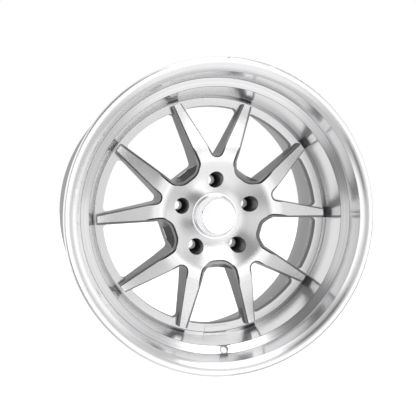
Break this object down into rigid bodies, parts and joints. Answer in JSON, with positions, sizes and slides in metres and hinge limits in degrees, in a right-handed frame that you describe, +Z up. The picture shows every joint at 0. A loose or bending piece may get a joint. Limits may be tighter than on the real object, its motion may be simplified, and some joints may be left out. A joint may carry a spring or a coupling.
{
  "type": "forged racing wheel rim",
  "caption": "Deep-dish bolted forged wheel rim with double spokes, a polished stepped lip, lug wells and a push-in centre cap.",
  "frame": {"origin": "on the axle line, midway between the two tyre flanges; the hub's mounting face lies in this plane", "axes": "+Y along the axle line towards the vehicle, -Y to the street, +Z up through the first lug hole, valve hole at the bottom"},
  "size_m": [0.497, 0.278, 0.497],
  "materials": {
    "polished_lip": "mirror polished, forged 6061",
    "machined_centre": "diamond-cut face under clear coat, silver-grey painted window walls",
    "painted_barrel": "satin grey paint",
    "sealant": "matt grey silicone",
    "bolt_steel": "bright plated steel",
    "washer_steel": "hardened, zinc plated",
    "insert_steel": "stainless, plain",
    "seat_steel": "dark zinc plated",
    "ring_aluminium": "turned, plain",
    "cap_chrome": "bright chrome",
    "badge_aluminium": "satin silver, blank",
    "cap_rubber": "black nitrile",
    "spring_steel": "bright spring wire"
  },
  "bodies": {
    "wheel": {"outer_lip": "polished_lip", "wheel_centre": "machined_centre", "inner_barrel": "painted_barrel", "barrel_seal": "sealant", "assembly_bolts": "bolt_steel", "bolt_washers": "washer_steel", "thread_inserts": "insert_steel", "lug_seat_1": "seat_steel", "lug_seat_2": "seat_steel", "lug_seat_3": "seat_steel", "lug_seat_4": "seat_steel", "lug_seat_5": "seat_steel", "hub_ring": "ring_aluminium"},
    "cap": {"cap_body": "cap_chrome", "cap_badge": "badge_aluminium", "cap_oring": "cap_rubber", "cap_clip_ring": "spring_steel"}
  },
  "joints": [
    {"name": "cap_pull", "type": "slide", "parent": "wheel", "child": "cap", "axis": [0, -1, 0], "range_m": [0, 0.045]}
  ]
}
